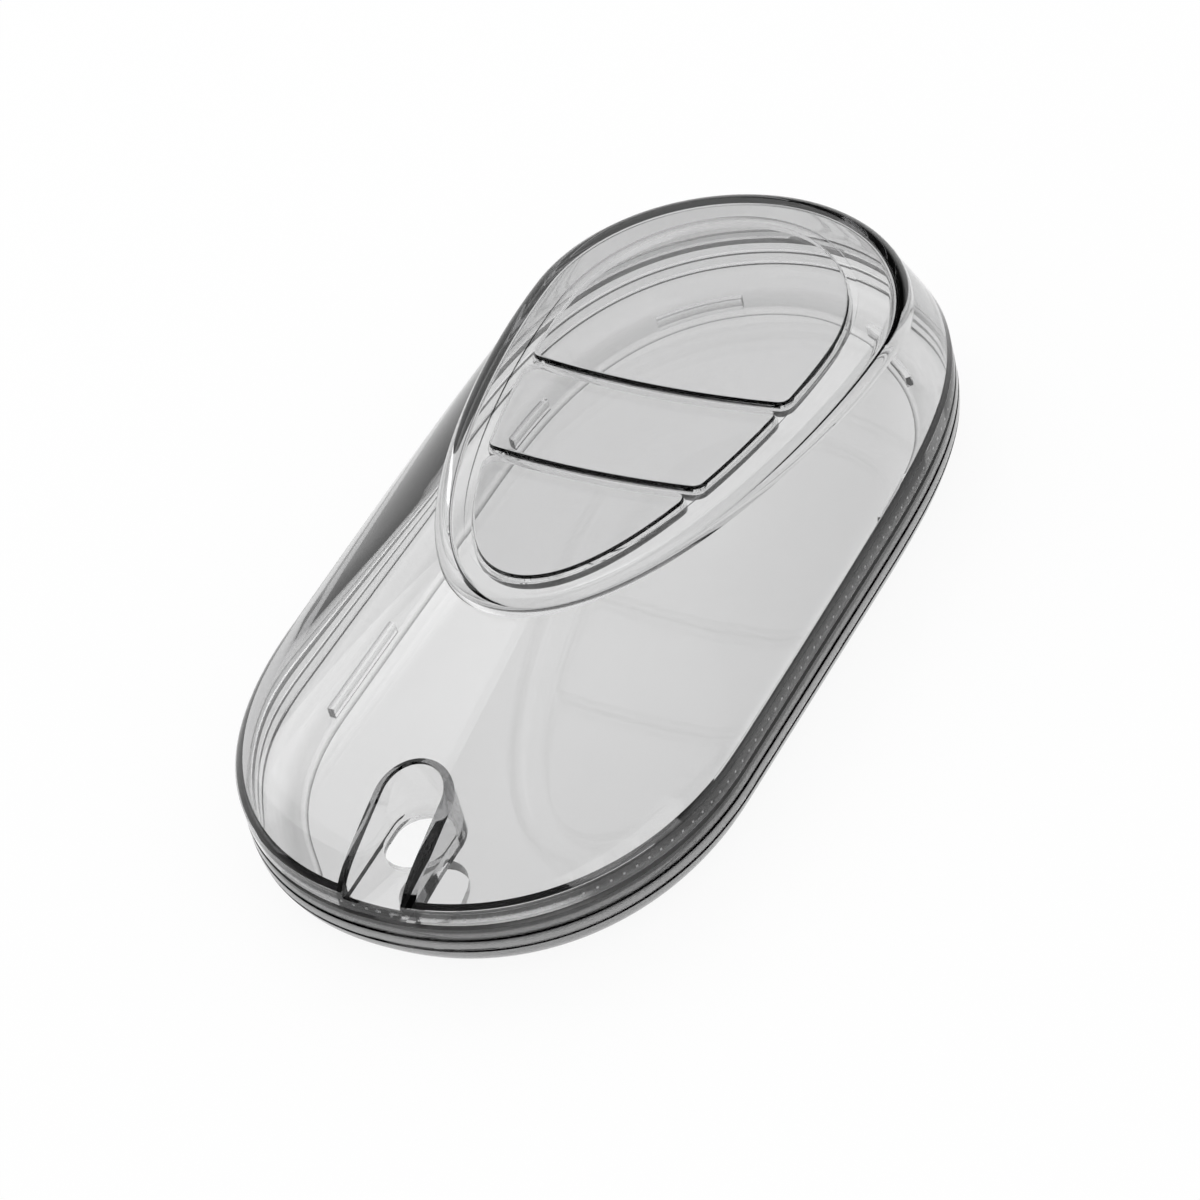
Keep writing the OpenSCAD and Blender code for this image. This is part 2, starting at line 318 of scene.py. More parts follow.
def loft(name, rings):
    """Closed form through a stack of rings that have the same number of points, capped at both ends."""
    n = len(rings[0])
    last = len(rings) - 1
    faces = [tuple(reversed(range(n)))]
    for k in range(last):
        for i in range(n):
            j = (i + 1) % n
            faces.append((k * n + i, k * n + j, (k + 1) * n + j, (k + 1) * n + i))
    faces.append(tuple(last * n + i for i in range(n)))
    return mesh_object(name, [p for ring in rings for p in ring], faces)


def combine(piece, tool, operation):
    """Cuts the tool out of the piece, or joins it on, and removes the tool."""
    modifier = piece.modifiers.new("combine", "BOOLEAN")
    modifier.operation = operation
    modifier.solver = "EXACT"
    modifier.object = tool
    depsgraph = bpy.context.evaluated_depsgraph_get()
    mesh = bpy.data.meshes.new_from_object(piece.evaluated_get(depsgraph))
    piece.modifiers.clear()
    piece.data = mesh
    bpy.data.objects.remove(tool)


def prism(name, outline, low, high):
    return loft(name, [[(x, y, low) for x, y in outline], [(x, y, high) for x, y in outline]])


def on_face(points):
    """Points of the flat XY plane, placed onto the tilted button face."""
    cos, sin = math.cos(FACE_TILT), math.sin(FACE_TILT)
    return [(x, y * cos + z * sin, FACE_HEIGHT - y * sin + z * cos) for x, y, z in points]


def on_face_loft(name, levels):
    """Loft on the tilted face, through (plan, height) levels."""
    return loft(name, [on_face([(x, y, z) for x, y in plan]) for plan, z in levels])


def notch_plan(grow):
    """U-shaped plan of the notch, open toward the ring end."""
    radius = NOTCH_WIDTH / 2 + grow
    centre = NOTCH_END - NOTCH_WIDTH / 2
    turns = [math.pi * i / NOTCH_STEPS for i in range(NOTCH_STEPS + 1)]
    arc = [(radius * math.cos(a), centre + radius * math.sin(a)) for a in turns]
    foot = -HALF_LENGTH - OVERRUN
    return arc + [(-radius, foot), (radius, foot)]


def ring_hole_plan():
    radius = RING_HOLE_WIDTH / 2
    straight = (RING_HOLE_LENGTH - RING_HOLE_WIDTH) / 2
    plan = []
    for i in range(HOLE_STEPS):
        angle = 2 * math.pi * (i + 0.5) / HOLE_STEPS
        plan.append((radius * math.cos(angle),
                     RING_HOLE_Y + radius * math.sin(angle) + math.copysign(straight, math.sin(angle))))
    return plan


def arc_crossing(curve, centre_y, radius):
    """Place along a curve of points where its distance from (0, centre_y) passes the radius."""
    for i in range(len(curve) - 1):
        near = math.hypot(curve[i][0], curve[i][1] - centre_y) - radius
        far = math.hypot(curve[i + 1][0], curve[i + 1][1] - centre_y) - radius
        if near * far <= 0 and near != far:
            return i + near / (near - far)
    return None


def button_curve(upper, lower):
    """Core of a button's plan, half of it on the +X side, as (point, outward direction) pairs.

    The core lies one corner radius inside the plan. upper and lower are the dividers that bound the
    button, or None where the field's own edge does.
    """
    corner = BUTTON_CORNER
    edge, outward = [], []
    for i in range(FIELD_STATIONS + 1):
        s = i / FIELD_STATIONS
        x, y = field_point(s, 0)
        ax, ay = field_point(max(0.0, s - TANGENT_STEP), 0)
        bx, by = field_point(min(1.0, s + TANGENT_STEP), 0)
        length = math.hypot(bx - ax, by - ay)
        nx, ny = (by - ay) / length, -(bx - ax) / length
        edge.append((x - corner * nx, y - corner * ny))
        outward.append((nx, ny))
    start, end = 0.0, float(FIELD_STATIONS)
    if lower is not None:
        start = arc_crossing(edge, lower + DIVIDER_RADIUS, DIVIDER_RADIUS - corner)
    if upper is not None:
        end = arc_crossing(edge, upper + DIVIDER_RADIUS, DIVIDER_RADIUS + corner)

    def on_edge(place):
        i = min(int(place), FIELD_STATIONS - 1)
        t = place - i
        point, way = (tuple(a + (b - a) * t for a, b in zip(values[i], values[i + 1]))
                      for values in (edge, outward))
        return point, way

    def divider(meeting, level, side):
        """Points of a divider from the centre line out to its meeting with the field's edge."""
        centre = level + DIVIDER_RADIUS
        reach = math.atan2(meeting[0], centre - meeting[1])
        radius = DIVIDER_RADIUS - side * corner
        pairs = []
        for i in range(DIVIDER_STEPS + 1):
            a = reach * i / DIVIDER_STEPS
            pairs.append(((radius * math.sin(a), centre - radius * math.cos(a)),
                          (side * math.sin(a), -side * math.cos(a))))
        return pairs

    def turn(point, first, last):
        """Outward directions that turn round a corner of the core."""
        a = math.atan2(first[1], first[0])
        b = math.atan2(last[1], last[0])
        if b < a:
            b += 2 * math.pi
        turns = [a + (b - a) * i / CORNER_STEPS for i in range(1, CORNER_STEPS)]
        return [(point, (math.cos(angle), math.sin(angle))) for angle in turns]

    pairs = []
    first_point, first_out = on_edge(start)
    last_point, last_out = on_edge(end)
    if lower is not None:
        near = divider(first_point, lower, 1)
        pairs += near + turn(first_point, near[-1][1], first_out)
    pairs.append((first_point, first_out))
    stations = range(math.ceil(start + END_GAP), math.floor(end - END_GAP) + 1)
    pairs += [(edge[i], outward[i]) for i in stations]
    pairs.append((last_point, last_out))
    if upper is not None:
        far = list(reversed(divider(last_point, upper, -1)))
        pairs += turn(last_point, last_out, far[0][1]) + far
    unique = [pairs[0]]
    for pair in pairs[1:]:
        if math.dist(pair[0] + pair[1], unique[-1][0] + unique[-1][1]) > SAME_POINT:
            unique.append(pair)
    return unique


def button_plan(curve, grow):
    reach = BUTTON_CORNER + grow
    return closed([(p[0] + reach * d[0], p[1] + reach * d[1]) for p, d in curve])


BUTTON_CURVES = {
    "upper_button": button_curve(None, DIVIDER_1),
    "middle_button": button_curve(DIVIDER_1 - CHANNEL_WIDTH, DIVIDER_2),
    "lower_button": button_curve(DIVIDER_2 - CHANNEL_WIDTH, None),
}


def edge_inset(z):
    """How far the back half's rounded edge lies inside the outline at a height."""
    below = max(0.0, BACK_EDGE_RADIUS - z)
    return BACK_EDGE_RADIUS - math.sqrt(BACK_EDGE_RADIUS ** 2 - below ** 2)


def back_profile():
    """(inset, height) points of the back half's section, from its floor's outside round to the inside."""
    turns = [math.pi / 2 * i / BACK_ROUND_STEPS for i in range(BACK_ROUND_STEPS + 1)]
    heights = sorted({BACK_EDGE_RADIUS * (1 - math.cos(a)) for a in turns} | {BACK_WALL_HEIGHT})
    lines = [LINE_HEIGHT - LINE_SPACING, LINE_HEIGHT]
    outside = [(edge_inset(z), z) for z in heights
               if all(abs(z - line) > LINE_CLEARANCE * LINE_WIDTH for line in lines)]
    for line in lines:
        low, high = line - LINE_WIDTH / 2, line + LINE_WIDTH / 2
        bottom = edge_inset(line) + LINE_DEPTH
        outside += [(edge_inset(low), low), (bottom, low + LINE_CORNER),
                    (bottom, high - LINE_CORNER), (edge_inset(high), high)]
    outside.sort(key=lambda point: point[1])
    radius = BACK_EDGE_RADIUS - WALL
    inside = [(WALL + radius * (1 - math.sin(a)), WALL + radius * (1 - math.cos(a)))
              for a in reversed(turns)]
    return ([(BACK_EDGE_RADIUS + STRIP, 0)] + outside
            + [(LIP_INSET, BACK_WALL_HEIGHT), (LIP_INSET, LIP_TOP), (WALL, LIP_TOP)]
            + inside + [(WALL + radius + STRIP, WALL)])


def make_back():
    """The back half: a tray with a lip, six ribs and an oval ring hole."""
    piece = loft("back_half_moulding", [level_ring(inset, z) for inset, z in back_profile()])
    combine(piece, make_ribs(), "UNION")
    gap = notch_plan(NOTCH_WALL + LIP_CLEARANCE)
    combine(piece, prism("lip_gap", gap, BACK_WALL_HEIGHT, LIP_TOP + OVERRUN), "DIFFERENCE")
    combine(piece, prism("back_hole", ring_hole_plan(), -OVERRUN, BACK_WALL_HEIGHT), "DIFFERENCE")
    return piece


def make_ribs():
    """All the short ribs inside the back half, in one mesh."""
    places = [3 * i / RIB_PLACES for i in range(RIB_PLACES + 1)]

    def span_of(axis, low, high, start=0):
        return [p for p in places if p >= start and low <= outline_point(p, RIB_INSET)[axis] <= high]

    spans = [span_of(1, low * HALF_LENGTH, high * HALF_LENGTH) for low, high in SIDE_RIB_SPANS]
    spans.append(span_of(0, END_RIB_SPAN[0] * HALF_WIDTH, END_RIB_SPAN[1] * HALF_WIDTH, start=2))
    inner = RIB_INSET + RIB_THICKNESS
    section = ((RIB_INSET, WALL / 2), (RIB_INSET, RIB_HEIGHT), (inner, RIB_HEIGHT), (inner, WALL / 2))
    points, faces = [], []
    for span in spans:
        for side in (1, -1):
            base = len(points)
            for place in span:
                for inset, z in section:
                    x, y = outline_point(place, inset)
                    points.append((side * x, y, z))
            for k in range(len(span) - 1):
                for i in range(4):
                    quad = [base + 4 * k + i, base + 4 * k + (i + 1) % 4,
                            base + 4 * (k + 1) + (i + 1) % 4, base + 4 * (k + 1) + i]
                    faces.append(tuple(quad[::side]))
            end = base + 4 * (len(span) - 1)
            faces.append(tuple([base + 3, base + 2, base + 1, base][::side]))
            faces.append(tuple([end, end + 1, end + 2, end + 3][::side]))
    return mesh_object("ribs", points, faces)


def make_front():
    """The front half: a hollow skirt and face, with the notch, the channel and the windows of the pads."""
    outer = [level_ring(0, FRONT_BOTTOM)]
    outer += skirt_rings(0, CREASE_HEIGHT, SHOULDER_HEIGHT, 0)
    outer += face_rings(0, 0)
    piece = loft("front_half_moulding", outer)

    rebate = LIP_INSET - LIP_CLEARANCE
    rebate_top = LIP_TOP + SEAT_CLEARANCE
    inner = [level_ring(rebate, FRONT_BOTTOM - OVERRUN), level_ring(rebate, rebate_top),
             level_ring(WALL, rebate_top)]
    inner += skirt_rings(WALL, INNER_CREASE, INNER_SHOULDER, INNER_LEAST_CORNER, HEAD_THICKENING)
    inner += face_rings(WALL, INNER_LEAST_CORNER, HEAD_THICKENING)
    space = loft("space", inner)
    combine(space, prism("notch_walls", notch_plan(NOTCH_WALL), FRONT_BOTTOM, FACE_HEIGHT), "DIFFERENCE")
    combine(piece, space, "DIFFERENCE")
    combine(piece, prism("notch", notch_plan(0), WEB_TOP, FACE_HEIGHT + OVERRUN), "DIFFERENCE")
    combine(piece, prism("front_hole", ring_hole_plan(), FRONT_BOTTOM - OVERRUN, WEB_TOP + OVERRUN),
            "DIFFERENCE")
    field = closed([field_point(i / FIELD_STATIONS, CHANNEL_WIDTH) for i in range(FIELD_STATIONS + 1)])
    combine(piece, on_face_loft("channel", [(field, -CHANNEL_DEPTH), (field, OVERRUN)]), "DIFFERENCE")
    for name, curve in BUTTON_CURVES.items():
        window = button_plan(curve, BUTTON_CLEARANCE)
        combine(piece, on_face_loft(name + "_window", [(window, -WALL - OVERRUN), (window, OVERRUN)]),
                "DIFFERENCE")
    return piece


def rounding(radius, steps):
    """(inward, downward) steps round a quarter circle that ends level."""
    angles = [math.pi / 2 * i / steps for i in range(steps + 1)]
    return [(radius * (1 - math.cos(a)), radius * (1 - math.sin(a))) for a in angles]


def make_button(name):
    """A pad that fills its window, with a rounded upper edge and a flange under the face."""
    curve = BUTTON_CURVES[name]
    foot = -WALL - FLANGE_THICKNESS
    levels = [(button_plan(curve, FLANGE_WIDTH), foot), (button_plan(curve, FLANGE_WIDTH), -WALL),
              (button_plan(curve, PAD_GROWTH), -WALL)]
    levels += [(button_plan(curve, PAD_GROWTH - inward), BUTTON_PROUD - down)
               for inward, down in rounding(PAD_EDGE_RADIUS, PAD_ROUND_STEPS)]
    levels.append((button_plan(curve, PAD_GROWTH - PAD_EDGE_RADIUS - STRIP), BUTTON_PROUD))
    return on_face_loft(name.replace("button", "pad") + "_moulding", levels)


# Painted shade by height in millimetres, as (height, grey) stops, and the height at the end of the scale
TONE_SPAN = 10.0
# Painted shade on the outside of the back half's wall: dark bands from the table up past its two fine lines
BACK_RIM_PAINTED_SHADE = [(0.0, 0.06), (3.0, 0.05), (3.15, 0.045), (3.45, 0.045), (3.6, 0.08), (4.1, 0.07),
                  (4.4, 0.008), (4.8, 0.008), (4.95, 0.05), (5.25, 0.05), (5.45, 0.003), (5.8, 0.003)]
# Painted shade on the outside of the front half's wall up to its crease along the sides, and at the ring end
# a lighter painted band under a dark one
FRONT_RIM_PAINTED_SHADE = [(6.3, 0.03), (6.8, 0.03), (7.0, 0.01), (7.8, 0.006), (7.9, 0.2), (8.0, 1.0)]
RING_END_PAINTED_LIGHT_AND_SHADE = [(6.3, 0.7), (6.85, 0.7), (7.1, 0.02), (7.5, 0.01), (7.75, 0.2), (8.0, 1.0)]
# Painted shade on the inside of the back half, from its floor up its rounded corner: darker just above the
# floor and up the wall
TRAY_PAINTED_SHADE = [(1.1, 1.0), (1.115, 1.0), (1.13, 0.6), (1.35, 0.7), (1.9, 1.0),
              (3.0, 1.0), (3.6, 0.8), (5.8, 0.8)]
# Where the front rim's painted shade turns to the ring end's, as the cosine of the way it faces from the
# ring end
RING_END_FACING = (0.62, 0.8)
# Where a wall counts as met from outside: metres from the middle, measured along the wall's own normal
OUTSIDE_LIMITS = (-0.002, 0.0)
# Painted highlight: a row of light flecks along the front half's rim, as glints of fine snap teeth
# that are not modelled, and the soft edges of a fleck
TOOTH_GLINT_HEIGHT = 7.0
TOOTH_GLINT_PITCH = 1.2
TOOTH_GLINT_SIZE = 0.16
TOOTH_GLINT_GREY = 0.3
TOOTH_GLINT_ROW_EDGE = (0.5, 0.9)
TOOTH_GLINT_SIDE_EDGE = (0.5, 0.8)
# Painted shade: dark grey on the faces where the halves meet, which darkens the bands of plastic that look
# onto them, and the grey of the wall of the back half's ring hole
MATING_SHADE_GREY = 0.12
CUT_GREY = 1.0
# Share of light that still passes through a face that counts as solid
SOLID_TRANSMISSION = 0.2

# Clear plastic, the same in all the mouldings: polish and flow as noise scales, and the tint's cloudiness
PLASTIC_IOR = 1.49
PLASTIC_ROUGHNESS = 0.008
POLISH_SCALE, POLISH_DETAIL, POLISH_SPREAD = 160.0, 3.0, 0.4
CLOUD_SCALE, CLOUD_DETAIL, CLOUD_DEPTH = 45.0, 2.0, 0.03
CLOUD_LIMITS = (0.3, 0.7)
FLOW_SCALE, FLOW_DETAIL, FLOW_STRENGTH, FLOW_DISTANCE = 70.0, 1.0, 0.05, 0.0001
ABSORPTION_COLOUR = (0.02, 0.02, 0.03, 1)


def new_material(name):
    material = bpy.data.materials.new(name)
    material.use_nodes = True
    tree = material.node_tree
    shader = tree.nodes["Principled BSDF"]
    output = tree.nodes["Material Output"]
    return material, tree, shader, output


def attribute(tree, name, output):
    node = tree.nodes.new("ShaderNodeAttribute")
    node.attribute_name = name
    return node.outputs[output]


def maths(tree, operation, *values):
    """A maths node whose inputs are sockets or numbers."""
    node = tree.nodes.new("ShaderNodeMath")
    node.operation = operation
    for socket, value in zip(node.inputs, values):
        if isinstance(value, (int, float)):
            socket.default_value = value
        else:
            tree.links.new(value, socket)
    return node.outputs["Value"]


def vector_maths(tree, operation, first, second):
    node = tree.nodes.new("ShaderNodeVectorMath")
    node.operation = operation
    for socket, value in zip(node.inputs, (first, second)):
        if isinstance(value, tuple):
            socket.default_value = value
        else:
            tree.links.new(value, socket)
    return node.outputs["Value" if operation == "DOT_PRODUCT" else "Vector"]


def smooth(tree, value, low, high, to_low=0.0, to_high=1.0):
    """Smooth step of a value between two limits."""
    node = tree.nodes.new("ShaderNodeMapRange")
    node.interpolation_type = "SMOOTHSTEP"
    tree.links.new(value, node.inputs["Value"])
    for socket, number in (("From Min", low), ("From Max", high), ("To Min", to_low), ("To Max", to_high)):
        node.inputs[socket].default_value = number
    return node.outputs["Result"]


def tones(tree, value, stops):
    """Grey read from (place, grey) stops along a value."""
    node = tree.nodes.new("ShaderNodeValToRGB")
    ramp = node.color_ramp
    while len(ramp.elements) < len(stops):
        ramp.elements.new(0.5)
    for element, (place, grey) in zip(ramp.elements, stops):
        element.position = place
        element.color = (grey, grey, grey, 1)
    tree.links.new(value, node.inputs["Fac"])
    return node.outputs["Color"]


def times(tree, first, second):
    node = tree.nodes.new("ShaderNodeMix")
    node.data_type = "RGBA"
    node.blend_type = "MULTIPLY"
    node.inputs["Factor"].default_value = 1.0
    tree.links.new(first, node.inputs["A"])
    tree.links.new(second, node.inputs["B"])
    return node.outputs["Result"]


def height_of(tree, place):
    """Height of a point on the piece, in metres."""
    split = tree.nodes.new("ShaderNodeSeparateXYZ")
    tree.links.new(place.outputs["Object"], split.inputs["Vector"])
    return split.outputs["Z"]


def height_tone(tree, place, stops):
    """Grey read from (height, grey) stops, in millimetres."""
    height = maths(tree, "MULTIPLY", height_of(tree, place), 1 / (TONE_SPAN * MILLIMETRE))
    return tones(tree, height, [(z / TONE_SPAN, grey) for z, grey in stops])


def seen_from_outside(tree, place):
    """1 on the outside of the rim for light that meets it from outside, and 0 from inside the plastic: where
    the rim's painted shade goes.
    """
    flat = vector_maths(tree, "MULTIPLY", place.outputs["Object"], (1.0, 1.0, 0.0))
    facing = vector_maths(tree, "DOT_PRODUCT", flat, place.outputs["Normal"])
    outward = smooth(tree, facing, *OUTSIDE_LIMITS)
    return maths(tree, "MULTIPLY", outward, attribute(tree, "outside", "Fac"))


def mixed(tree, share, first, second):
    """Colour mixed by a share; the colours are greys or sockets."""
    node = tree.nodes.new("ShaderNodeMix")
    node.data_type = "RGBA"
    tree.links.new(share, node.inputs["Factor"])
    for socket, value in (("A", first), ("B", second)):
        if isinstance(value, float):
            node.inputs[socket].default_value = (value, value, value, 1)
        else:
            tree.links.new(value, node.inputs[socket])
    return node.outputs["Result"]


def at_ring_end(tree, place):
    """1 where a wall faces the ring end, which gets the lighter painted band, and 0 along the sides."""
    facing = vector_maths(tree, "DOT_PRODUCT", place.outputs["Normal"], (0.0, -1.0, 0.0))
    return smooth(tree, facing, *RING_END_FACING)


def painted_tooth_glints(tree, place):
    """1 on the row of painted tooth glints along the front half's rim."""
    offset = maths(tree, "SUBTRACT", height_of(tree, place), TOOTH_GLINT_HEIGHT * MILLIMETRE)
    core, edge = (share * TOOTH_GLINT_SIZE * MILLIMETRE for share in TOOTH_GLINT_ROW_EDGE)
    row = smooth(tree, maths(tree, "ABSOLUTE", offset), core, edge, 1.0, 0.0)
    step = maths(tree, "FRACT", maths(tree, "DIVIDE", attribute(tree, "along", "Fac"), TOOTH_GLINT_PITCH))
    core, edge = (share * TOOTH_GLINT_SIZE / TOOTH_GLINT_PITCH for share in TOOTH_GLINT_SIDE_EDGE)
    glint_fleck = smooth(tree, maths(tree, "ABSOLUTE", maths(tree, "SUBTRACT", step, 0.5)), core, edge, 1.0, 0.0)
    return maths(tree, "MULTIPLY", row, glint_fleck)


def noise(tree, place, scale, detail):
    """Grey noise over the piece."""
    node = tree.nodes.new("ShaderNodeTexNoise")
    node.inputs["Scale"].default_value = scale
    node.inputs["Detail"].default_value = detail
    tree.links.new(place.outputs["Object"], node.inputs["Vector"])
    return node.outputs["Fac"]


def clear_plastic(name, absorption, tint, rim_shade_tones=None, tray_shade_tones=None, ring_end_and_glints=False):
    """Polished clear moulding: tinted through its depth, with faint flow waves and a slightly uneven polish.

    rim_shade_tones paint shade on the outside of a half's wall by height, and tray_shade_tones paint shade
    on every other face of it. ring_end_and_glints adds the ring end's lighter painted band and the painted
    tooth glints. The transmission is a plain number in a piece without rim_shade_tones.
    """
    material, tree, shader, output = new_material(name)
    nodes, links = tree.nodes, tree.links
    place = nodes.new("ShaderNodeTexCoord")
    shader.inputs["IOR"].default_value = PLASTIC_IOR

    uneven = nodes.new("ShaderNodeMapRange")
    uneven.inputs["To Min"].default_value = PLASTIC_ROUGHNESS * (1 - POLISH_SPREAD)
    uneven.inputs["To Max"].default_value = PLASTIC_ROUGHNESS * (1 + POLISH_SPREAD)
    links.new(noise(tree, place, POLISH_SCALE, POLISH_DETAIL), uneven.inputs["Value"])
    links.new(uneven.outputs["Result"], shader.inputs["Roughness"])

    low, high = CLOUD_LIMITS
    colour = tones(tree, noise(tree, place, CLOUD_SCALE, CLOUD_DETAIL),
                   [(low, tint - CLOUD_DEPTH), (high, tint)])
    # Painted shade on the inside faces of the back half, by height
    if tray_shade_tones:
        tray_shade = height_tone(tree, place, tray_shade_tones)
        colour = times(tree, colour, mixed(tree, attribute(tree, "outside", "Fac"), tray_shade, 1.0))
    if rim_shade_tones:
        # Painted shade on the outside of the wall, by height
        outside = seen_from_outside(tree, place)
        mating = attribute(tree, "mating", "Fac")
        cut = attribute(tree, "cut", "Fac")
        rim_shade = height_tone(tree, place, rim_shade_tones)
        solid = maths(tree, "MAXIMUM", mating, cut)
        if ring_end_and_glints:
            # At the ring end the painted rim shade gives way to a lighter painted band under a dark one
            rim_shade = mixed(tree, at_ring_end(tree, place), rim_shade, height_tone(tree, place, RING_END_PAINTED_LIGHT_AND_SHADE))
        colour = times(tree, colour, mixed(tree, outside, 1.0, rim_shade))
        # Painted shade: the faces where the halves meet are dark grey
        colour = mixed(tree, cut, mixed(tree, mating, colour, MATING_SHADE_GREY), CUT_GREY)
        if ring_end_and_glints:
            # Painted highlight: light flecks of the tooth glints on the rim's outside
            glint = maths(tree, "MULTIPLY", outside, painted_tooth_glints(tree, place))
            colour = mixed(tree, glint, colour, TOOTH_GLINT_GREY)
            solid = maths(tree, "MAXIMUM", solid, glint)
        clear = smooth(tree, solid, 0.0, 1.0, 1.0, SOLID_TRANSMISSION)
        links.new(clear, shader.inputs["Transmission Weight"])
    else:
        shader.inputs["Transmission Weight"].default_value = 1.0
    links.new(colour, shader.inputs["Base Color"])

    bump = nodes.new("ShaderNodeBump")
    bump.inputs["Strength"].default_value = FLOW_STRENGTH
    bump.inputs["Distance"].default_value = FLOW_DISTANCE
    links.new(noise(tree, place, FLOW_SCALE, FLOW_DETAIL), bump.inputs["Height"])
    links.new(bump.outputs["Normal"], shader.inputs["Normal"])

    depth = nodes.new("ShaderNodeVolumeAbsorption")
    depth.inputs["Color"].default_value = ABSORPTION_COLOUR
    depth.inputs["Density"].default_value = absorption
    links.new(depth.outputs["Volume"], output.inputs["Volume"])
    return material


def outline_side(x, y, inset):
    """More than 1 outside the outline drawn in by an inset, and less than 1 inside it."""
    across = abs(x) / (HALF_WIDTH - inset)
    if y < RING_START:
        along = (RING_START - y) / (RING_END_LENGTH - inset)
        return across ** RING_END_SQUARENESS + along ** RING_END_SQUARENESS
    if y < BUTTON_START:
        return across
    along = (y - BUTTON_START) / (BUTTON_END_LENGTH - inset)
    return across ** BUTTON_END_TIP_SQUARENESS + along ** BUTTON_END_SIDE_SQUARENESS


# Distances in millimetres within which a face counts as lying on a surface, and how level or upright it is
FACE_NEAR = 0.05
LEVEL_NEAR = 0.1
SEAM_NEAR = 0.01
LEVEL_NORMAL = 0.9
UPRIGHT_NORMAL = 0.1


def split_at_notch(piece):
    """Cuts the faces at the front half's foot along the notch's sides, so that they can be marked apart."""
    shape = bmesh.new()
    shape.from_mesh(piece.data)
    for x in (-NOTCH_WIDTH / 2, NOTCH_WIDTH / 2):
        faces = [face for face in shape.faces
                 if abs(face.calc_center_median().z - FRONT_BOTTOM) < SEAM_NEAR]
        parts = set(faces)
        for face in faces:
            parts.update(face.edges)
            parts.update(face.verts)
        bmesh.ops.bisect_plane(shape, geom=list(parts), plane_co=(x, 0, 0), plane_no=(1, 0, 0))
    shape.to_mesh(piece.data)
    shape.free()


def mark_faces(piece):
    """Marks the rim's outside, the faces where the halves meet, and the wall of the back half's hole."""
    split_at_notch(piece)
    mesh = piece.data
    mating = mesh.attributes.new("mating", "FLOAT", "FACE")
    outside = mesh.attributes.new("outside", "FLOAT", "FACE")
    cut = mesh.attributes.new("cut", "FLOAT", "FACE")
    for polygon in mesh.polygons:
        x, y, z = polygon.center
        slope = abs(polygon.normal.z)
        level = slope > LEVEL_NORMAL and BACK_WALL_HEIGHT - LEVEL_NEAR < z < LIP_TOP + LEVEL_NEAR
        at_wall = outline_side(x, y, WALL + FACE_NEAR) > 1
        under_notch_wall = NOTCH_WIDTH / 2 < abs(x) < NOTCH_WIDTH / 2 + NOTCH_WALL and y < NOTCH_END
        mating.data[polygon.index].value = float(level and (at_wall or under_notch_wall))
        skin = z < CREASE_HEIGHT and outline_side(x, y, edge_inset(z) + LINE_DEPTH + FACE_NEAR) > 1
        outside.data[polygon.index].value = float(skin and not level)
        in_hole = (abs(x) < RING_HOLE_WIDTH / 2 + FACE_NEAR
                   and abs(y - RING_HOLE_Y) < RING_HOLE_LENGTH / 2 + FACE_NEAR)
        cut.data[polygon.index].value = float(in_hole and slope < UPRIGHT_NORMAL and z < BACK_WALL_HEIGHT)


def mark_along(piece):
    """Stores how far along the outline each point of the rim is."""
    mesh = piece.data
    along = mesh.attributes.new("along", "FLOAT", "POINT")
    half = half_outline(0)
    travelled = [0.0]
    for a, b in zip(half, half[1:]):
        travelled.append(travelled[-1] + math.dist(a, b))
    tree = KDTree(len(half))
    for i, (x, y) in enumerate(half):
        tree.insert((x, y, 0), i)
    tree.balance()
    for vertex in mesh.vertices:
        _, i, _ = tree.find((abs(vertex.co.x), vertex.co.y, 0))
        along.data[vertex.index].value = travelled[i]


def finish_piece(piece, body, node, material):
    """Scales a piece from millimetres, shades it, and puts it in the place of its CAD node."""
    piece.data.transform(Matrix.Scale(MILLIMETRE, 4))
    piece.data.shade_smooth()
    piece.data.set_sharp_from_angle(angle=SHARP_ANGLE)
    piece.data.materials.clear()
    piece.data.materials.append(material)
    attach(piece, body)
    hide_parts(node)


back_plastic = clear_plastic("smoky_clear_back_plastic", absorption=10.0, tint=1.0,
                             rim_shade_tones=BACK_RIM_PAINTED_SHADE, tray_shade_tones=TRAY_PAINTED_SHADE)
front_plastic = clear_plastic("smoky_clear_plastic", absorption=155.0, tint=0.87,
                              rim_shade_tones=FRONT_RIM_PAINTED_SHADE, ring_end_and_glints=True)
pad_plastic = clear_plastic("clear_pad_plastic", absorption=200.0, tint=0.93)

back = make_back()
mark_faces(back)
finish_piece(back, "back_half", "back_shell", back_plastic)
front = make_front()
mark_faces(front)
mark_along(front)
finish_piece(front, "front_half", "front_shell", front_plastic)
for button in BUTTON_CURVES:
    finish_piece(make_button(button), button.replace("button", "pad"), button, pad_plastic)


# Camera at the photograph's viewing angle, solved on the rim lines of the photograph
AZIMUTH = math.radians(37.3746)
ELEVATION = math.radians(42.43)
ROLL = math.radians(15.1437)
DISTANCE = 0.5207
FOCAL_PIXELS = 6289.0
PHOTO_PIXELS = 1200
# Pixel of the photograph's frame that the object's origin falls on
ORIGIN_X, ORIGIN_Y = 623.9258, 619.3822
SENSOR_WIDTH = 36

